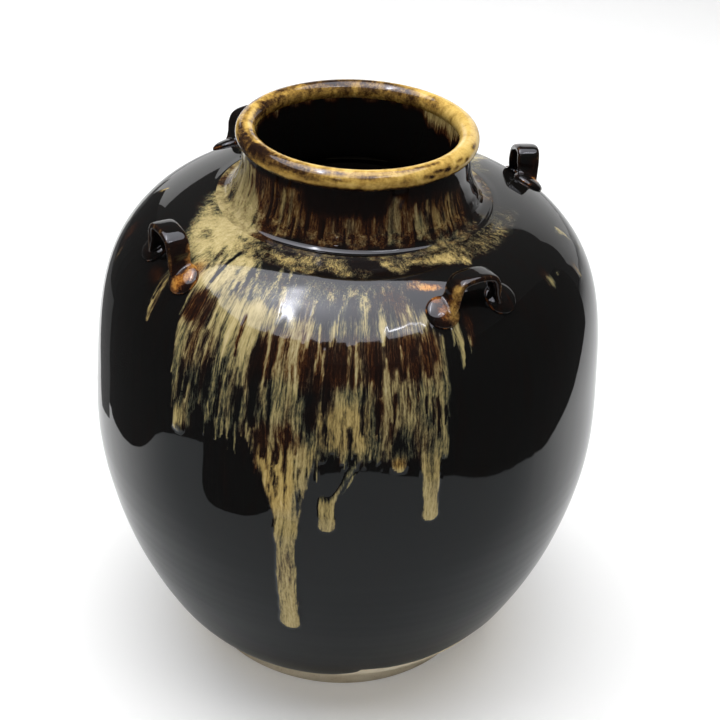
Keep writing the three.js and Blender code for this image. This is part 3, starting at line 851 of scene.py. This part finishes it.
# Materials
class Nodes:
    """The nodes of a material or of the world, with short ways to add and join them."""

    def __init__(self, owner, output="OutputMaterial"):
        owner.use_nodes = True
        self.owner, self.tree = owner, owner.node_tree
        self.tree.nodes.clear()
        self.out = self.add(output)

    def put(self, value, socket):
        if isinstance(value, (int, float, tuple)):
            socket.default_value = value
        else:
            self.tree.links.new(value, socket)

    def add(self, kind, inputs=None, **props):
        """A node with these settings, and a value or a link for each named input."""
        node = self.tree.nodes.new("ShaderNode" + kind)
        for key, value in props.items():
            setattr(node, key, value)
        for key, value in (inputs or {}).items():
            self.put(value, node.inputs[key])
        return node

    def surface(self, shader):
        self.put(shader.outputs[0], self.out.inputs["Surface"])
        return self.owner

    def attribute(self, name, output="Fac"):
        return self.add("Attribute", attribute_name=name).outputs[output]

    def place(self):
        return self.add("TexCoord").outputs["Object"]

    def math(self, op, a, b=0, c=0, clamp=False):
        inputs = {0: a, 1: b, 2: c}
        return self.add("Math", inputs, operation=op, use_clamp=clamp).outputs[0]

    def sway(self, noise, size, onto, clamp=False):
        """Adds a noise that has been centred on 0."""
        return self.math("MULTIPLY_ADD", self.math("SUBTRACT", noise, 0.5), size, onto, clamp)

    def scaled(self, vector, scale, shift=(0, 0, 0)):
        inputs = {"Vector": vector, "Scale": scale, "Location": shift}
        return self.add("Mapping", inputs, vector_type="POINT").outputs[0]

    def noise(self, vector, scale, detail=3, rough=0.55, distort=0):
        inputs = {"Vector": vector, "Scale": scale, "Detail": detail, "Roughness": rough}
        inputs["Distortion"] = distort
        return self.add("TexNoise", inputs, noise_dimensions="3D").outputs["Fac"]

    def ramp(self, fac, stops):
        """A colour ramp: where each stop is, and its colour or its grey."""
        node = self.add("ValToRGB", {0: fac})
        while len(node.color_ramp.elements) < len(stops):
            node.color_ramp.elements.new(0.5)
        for element, (at, *colour) in zip(node.color_ramp.elements, stops):
            element.position = at
            element.color = (*(colour if len(colour) == 3 else colour * 3), 1)
        return node.outputs[0]

    def mix(self, fac, a, b, blend="MIX"):
        a, b = ((*c, 1) if isinstance(c, tuple) else c for c in (a, b))
        inputs = {0: fac, 6: a, 7: b}
        return self.add("Mix", inputs, data_type="RGBA", blend_type=blend).outputs[2]


def clay_colour(g, where, grain):
    """Pale sandy clay with darker specks."""
    cloud = g.noise(where, 70, 3, 0.6)
    base = g.ramp(cloud, [(0.3, 0.66, 0.56, 0.4), (0.7, 0.8, 0.72, 0.56)])
    speck = g.ramp(grain, [(0.3, 0.5, 0.38, 0.25), (0.42, 1, 1, 1)])
    return g.mix(0.7, base, speck, blend="MULTIPLY")


# Colours of the glaze as its cover goes from -1 at 0 to 1.5 at 1: (place, red, green, blue)
PALE = [
    (0.36, 0.0042, 0.004, 0.0038), (0.42, 0.021, 0.021, 0.015), (0.48, 0.04, 0.04, 0.027),
    (0.54, 0.086, 0.078, 0.042), (0.62, 0.19, 0.158, 0.072), (0.73, 0.345, 0.28, 0.122),
    (0.86, 0.465, 0.378, 0.182), (1, 0.54, 0.44, 0.24),
]
RUST = [
    (0.22, 0.0055, 0.0028, 0.0022), (0.34, 0.015, 0.0055, 0.003), (0.43, 0.03, 0.01, 0.004),
    (0.5, 0.064, 0.027, 0.009), (0.56, 0.12, 0.066, 0.025), (0.63, 0.21, 0.15, 0.065),
    (0.74, 0.33, 0.265, 0.13), (1, 0.58, 0.49, 0.29),
]
HONEY = [
    (0.34, 0.012, 0.005, 0.003), (0.46, 0.055, 0.026, 0.008), (0.55, 0.17, 0.095, 0.025),
    (0.66, 0.37, 0.22, 0.048), (0.8, 0.62, 0.41, 0.105), (1, 0.77, 0.55, 0.195),
]
EMBER = [(0.36, 0.03, 0.008, 0.003), (0.5, 0.24, 0.07, 0.01), (0.7, 0.62, 0.25, 0.03)]
# the pattern is strongest where the cover is neither full nor empty
SWING = [(0, 0.35), (0.28, 0.55), (0.5, 1), (0.75, 0.75), (1, 0.5)]


def glaze_material(name, grain=1, contrast=1):
    """Glass over the layout that is painted on the points; grain is how fine its pattern is."""
    g = Nodes(bpy.data.materials.new(name))
    cover, warm, amber, fire, bare, dull = (g.attribute(key) for key in Glaze.FIELDS)
    flow = g.attribute("flow", "Vector")
    where = g.place()
    fine = g.noise(flow, 1500 * grain, 3, 0.6, 0.1)
    broad = g.noise(flow, 330 * grain, 3, 0.55, 0.5)
    islands = g.noise(g.scaled(flow, (1, 1, 3.4)), 1500 * grain, 4, 0.7, 0.1)
    tint = g.noise(g.scaled(flow, (1, 1, 2), (0.3, 0.1, 0.2)), 260 * grain, 2, 0.5)
    cloud = g.noise(where, 60, 3, 0.55)
    grit = g.noise(where, 1400, 4, 0.7)
    swing = g.ramp(g.math("MULTIPLY_ADD", cover, 0.4, 0.4, clamp=True), SWING)
    spread = g.sway(fine, 2.1 * contrast, 0)
    spread = g.sway(broad, 1.9, spread)
    spread = g.sway(islands, 1.7 * contrast, spread)
    varied = g.math("MULTIPLY_ADD", spread, swing, cover)
    fac = g.math("MULTIPLY_ADD", varied, 0.4, 0.4, clamp=True)
    brown = g.sway(tint, 2.2, warm, clamp=True)
    colour = g.mix(brown, g.ramp(fac, PALE), g.ramp(fac, RUST))
    colour = g.mix(amber, colour, g.ramp(fac, HONEY))
    colour = g.mix(fire, colour, g.ramp(fac, EMBER))
    rough = g.math("MULTIPLY_ADD", fac, 0.06, 0.03)
    shine = g.math("SUBTRACT", 0.5, g.math("MULTIPLY", dull, 0.4))
    height = g.math("MULTIPLY_ADD", fac, 0.02, g.math("MULTIPLY", cloud, 0.12))
    height = g.math("MULTIPLY_ADD", g.math("MULTIPLY", grit, bare), 0.6, height)
    bump = g.add("Bump", {"Strength": 0.3, "Distance": 0.0005, "Height": height})
    return g.surface(g.add("BsdfPrincipled", {
        "Base Color": g.mix(bare, colour, clay_colour(g, where, grit)),
        "IOR": 1.5,
        "Roughness": g.math("MAXIMUM", rough, g.math("MULTIPLY", bare, 0.85)),
        "Specular IOR Level": g.math("MULTIPLY_ADD", bare, -0.4, shine),
        "Normal": bump.outputs[0],
    }))


def clay_material(name):
    g = Nodes(bpy.data.materials.new(name))
    where = g.place()
    grain = g.noise(where, 1400, 4, 0.7)
    bump = g.add("Bump", {"Strength": 0.5, "Distance": 0.0003, "Height": grain})
    return g.surface(g.add("BsdfPrincipled", {
        "Base Color": clay_colour(g, where, grain),
        "Roughness": 0.85,
        "Normal": bump.outputs[0],
    }))


body.data.materials.append(glaze_material("tea_jar_glaze"))
rim.data.materials.append(glaze_material("amber_rim_glaze", grain=0.45, contrast=0.5))
neck.data.materials.append(glaze_material("rust_neck_glaze", contrast=0.55))
lug_glaze = glaze_material("black_lug_glaze", contrast=0.45)
for lug in lugs:
    lug.data.materials.append(lug_glaze)
foot.data.materials.append(clay_material("bare_clay"))


# The stage
# In the gloss the floor carries a painted shade, dimmer and a little cooler in front than behind:
# from y to y, and what is left there
FADE_FROM, FADE_TO, LEFT_AT_BACK = -0.16, 0.06, 0.2
COOLER = (0.95, 1.01, 1.04)


def plain(name, colour, camera_white=0, glossy_white=0, shaded_front_gloss=1):
    """A plain matt surface that adds a little of its own light for some rays.

    shaded_front_gloss is how bright its front part looks in the gloss of the glaze, under a painted
    shade.
    """
    g = Nodes(bpy.data.materials.new(name))
    rays = g.add("LightPath").outputs
    seen = g.math("MULTIPLY", rays["Is Camera Ray"], camera_white)
    seen = g.math("MULTIPLY_ADD", rays["Is Glossy Ray"], glossy_white, seen)
    base = (*colour, 1)
    if shaded_front_gloss < 1:
        # painted shade: the floor's front, as the glaze mirrors it, is dimmed and cooled
        split = g.add("SeparateXYZ", {0: g.place()})
        steps = {"From Min": FADE_FROM, "From Max": FADE_TO, "To Min": 1, "To Max": LEFT_AT_BACK}
        steps["Value"] = split.outputs["Y"]
        fade = g.add("MapRange", steps, interpolation_type="SMOOTHSTEP")
        amount = g.math("MULTIPLY", fade.outputs[0], rays["Is Glossy Ray"])
        dim = tuple(c * shaded_front_gloss * t for c, t in zip(colour, COOLER))
        base = g.mix(amount, colour, dim)
    return g.surface(g.add("BsdfPrincipled", {
        "Base Color": base,
        "Roughness": 0.9,
        "Specular IOR Level": 0,
        "Emission Color": (1, 1, 1, 1),
        "Emission Strength": seen,
    }))


def stage_sheet(name, corners, faces, material, only_mirrored=False):
    """A sheet of the studio, which may be there only for what the glaze mirrors."""
    ob = new_mesh(name, corners, faces, smooth_shade=False)
    ob.data.materials.append(material)
    if only_mirrored:
        for rays in ("camera", "shadow", "transmission", "diffuse"):
            setattr(ob, "visible_" + rays, False)


def card(name, corners, material, only_mirrored=False):
    stage_sheet(name, corners, [tuple(range(len(corners)))], material, only_mirrored)


def surround(name, line, top, widen, material):
    """Cloth that stands along a line on the floor, seen only in the gloss of the glaze."""
    low = [(x, y, 0.0003) for x, y in line]
    high = [(x * widen, y * widen, top) for x, y in line]
    n = len(low)
    faces = [(i, i + 1, n + i + 1, n + i) for i in range(n - 1)]
    stage_sheet(name, low + high, faces, material, only_mirrored=True)


# the floor, whose front gets a painted shade where the glaze mirrors it
white = plain("white_paper", (0.9, 0.9, 0.9), camera_white=0.15, shaded_front_gloss=0.42)
wall_white = plain("white_wall", (0.8, 0.8, 0.8), camera_white=1, glossy_white=0.36)
card("floor", [(-3, -3, 0), (3, -3, 0), (3, 3, 0), (-3, 3, 0)], white)
BACK_Y = 1.6
BACK_EDGE = [(-0.95, 0), (1.75, 0), (1.75, 0.5), (1.2, 1.1), (0.4, 1.22), (0.1, 0.8)]
BACK_EDGE += [(-0.95, 0.8)]
card("backdrop", [(x, BACK_Y, z) for x, z in BACK_EDGE], wall_white)

# dark round the left, the front and the right, with a lower grey piece inside it at the left
DARK_LINE = [
    (-0.75, 1.6), (-0.42, 0.42), (-0.36, 0.3), (-0.29, 0.16), (-0.31, 0), (-0.37, -0.11),
    (-0.35, -0.25), (-0.28, -0.215), (-0.23, -0.215), (-0.18, -0.26), (-0.09, -0.4),
    (0, -0.44), (0.1, -0.425), (0.235, -0.325), (0.28, -0.265), (0.34, -0.13),
    (0.355, -0.02), (0.385, 0.08), (0.425, 0.15), (0.49, 0.24), (0.57, 0.36),
]
GREY_LINE = [(-0.27, 0.1), (-0.235, 0.14), (-0.25, 0.22), (-0.31, 0.4), (-0.42, 0.75)]
GREY_LINE += [(-0.6, 1.55)]
dark = plain("dark_cloth", (0.004, 0.004, 0.004), glossy_white=0.05)
grey = plain("grey_cloth", (0.02, 0.02, 0.02), glossy_white=0.16)
surround("dark_surround", catmull(DARK_LINE, 4), 0.42, 1.02, dark)
surround("left_surround", GREY_LINE, 0.13, 1, grey)

# The softbox as the glaze mirrors it, brighter in places, with a small lamp in front of it
LIGHT_Z = 1.2
LIGHT_COLOUR = (0.9, 0.91, 1, 1)


def glowing(name, base, spots):
    """Light of an even strength with soft brighter spots: centre, half size, turn, strength."""
    g = Nodes(bpy.data.materials.new(name))
    where = g.place()
    total = base
    for centre, size, turn, extra in spots:
        place = {"Vector": where, "Location": (*centre, LIGHT_Z), "Scale": (*size, 1)}
        place["Rotation"] = (0, 0, math.radians(turn))
        place = g.add("Mapping", place, vector_type="TEXTURE")
        kind = "QUADRATIC_SPHERE"
        ball = g.add("TexGradient", {0: place.outputs[0]}, gradient_type=kind)
        total = g.math("MULTIPLY_ADD", ball.outputs["Fac"], extra, total)
    return g.surface(g.add("Emission", {"Color": LIGHT_COLOUR, "Strength": total}))


def light_card(name, centre, half, corner, material):
    """A flat light at the height of the softbox; corner 1 gives an oval, less a squarer one."""
    corners = []
    for t in np.linspace(0, 2 * np.pi, 72, endpoint=False):
        x, y = (np.sign(v) * abs(v) ** corner for v in (np.cos(t), np.sin(t)))
        corners.append((centre[0] + half[0] * x, centre[1] + half[1] * y, LIGHT_Z))
    card(name, corners, material, only_mirrored=True)


BOX_SPOTS = [
    ((-0.28, -0.05), (0.6, 0.65), 0, 5),
    ((-0.34, -0.17), (0.085, 0.66), -18.6, 22),
    ((-0.37, -0.29), (0.06, 0.22), -18.6, 30),
    ((-0.23, 0.2), (0.085, 0.2), -18.6, 8),
    ((0.32, -0.52), (0.026, 0.25), -33.7, 46),
    ((0.52, -0.44), (0.028, 0.21), 65.5, 40),
    ((0.42, -0.55), (0.16, 0.2), 0, 4),
]
LAMP, LAMP_HALF = (-0.46, -1.72), (0.05, 0.05)
box_light = glowing("softbox_light", 3.3, BOX_SPOTS)
lamp_light = glowing("lamp_light", 14, [(LAMP, LAMP_HALF, 0, 20)])
light_card("softbox_mirrored", (-0.18, -0.14), (0.84, 0.76), 0.85, box_light)
light_card("lamp_mirrored", LAMP, LAMP_HALF, 1, lamp_light)


def softbox(name, centre, size, aim, radiance):
    """A large area lamp that lights the jar but is not mirrored in it."""
    data = bpy.data.lights.new(name, "AREA")
    data.shape = "RECTANGLE"
    data.size, data.size_y = size
    data.energy = radiance * math.pi * size[0] * size[1]
    ob = bpy.data.objects.new(name, data)
    bpy.context.scene.collection.objects.link(ob)
    ob.location = centre
    ob.rotation_euler = (Vector(aim) - Vector(centre)).to_track_quat("-Z", "Y").to_euler()
    ob.visible_glossy = False
    ob.visible_camera = False


softbox("sky_panel", (-0.15, 0.1, 1.25), (1.8, 1.3), (-0.15, 0.1, 0), 4.2)
softbox("front_panel", (-0.3, -1.6, 0.9), (0.9, 0.7), (0, 0, 0.1), 2)

# The world: white for the camera, nearly dark as a light and in the gloss
WORLD_FILL, WORLD_GLOSS, WORLD_SEEN = 0.05, 0.03, 0.95
world = bpy.data.worlds.new("studio")
bpy.context.scene.world = world
g = Nodes(world, "OutputWorld")
rays = g.add("LightPath").outputs
strength = g.math("MULTIPLY_ADD", rays["Is Camera Ray"], WORLD_SEEN, WORLD_FILL)
strength = g.math("MULTIPLY_ADD", rays["Is Glossy Ray"], WORLD_GLOSS, strength)
g.surface(g.add("Background", {"Color": (1, 1, 1, 1), "Strength": strength}))

# The camera, fitted to the photograph together with the outline: angles in radians
YAW, PITCH, ROLL = 0.00972, 0.56344, 0.04877
PLACE = (0, -0.61023, 0.53093)
SENSOR_MM, FOCAL_PX, PHOTO_PX = 36, 1500, 720
right = Vector((math.cos(YAW), -math.sin(YAW), 0))
low, high = math.sin(PITCH), math.cos(PITCH)
up = Vector((math.sin(YAW) * low, math.cos(YAW) * low, high))
ahead = Vector((math.sin(YAW) * high, math.cos(YAW) * high, -low))
cam_x = right * math.cos(ROLL) + up * math.sin(ROLL)
cam_y = -right * math.sin(ROLL) + up * math.cos(ROLL)
matrix = Matrix((cam_x, cam_y, -ahead)).transposed().to_4x4()
matrix.translation = PLACE
cam_data = bpy.data.cameras.new("camera")
cam_data.sensor_width = SENSOR_MM
cam_data.lens = SENSOR_MM * FOCAL_PX / PHOTO_PX
cam_data.clip_start = 0.01
camera = bpy.data.objects.new("camera", cam_data)
bpy.context.scene.collection.objects.link(camera)
camera.matrix_world = matrix
bpy.context.scene.camera = camera

bpy.context.scene.view_settings.view_transform = "Standard"
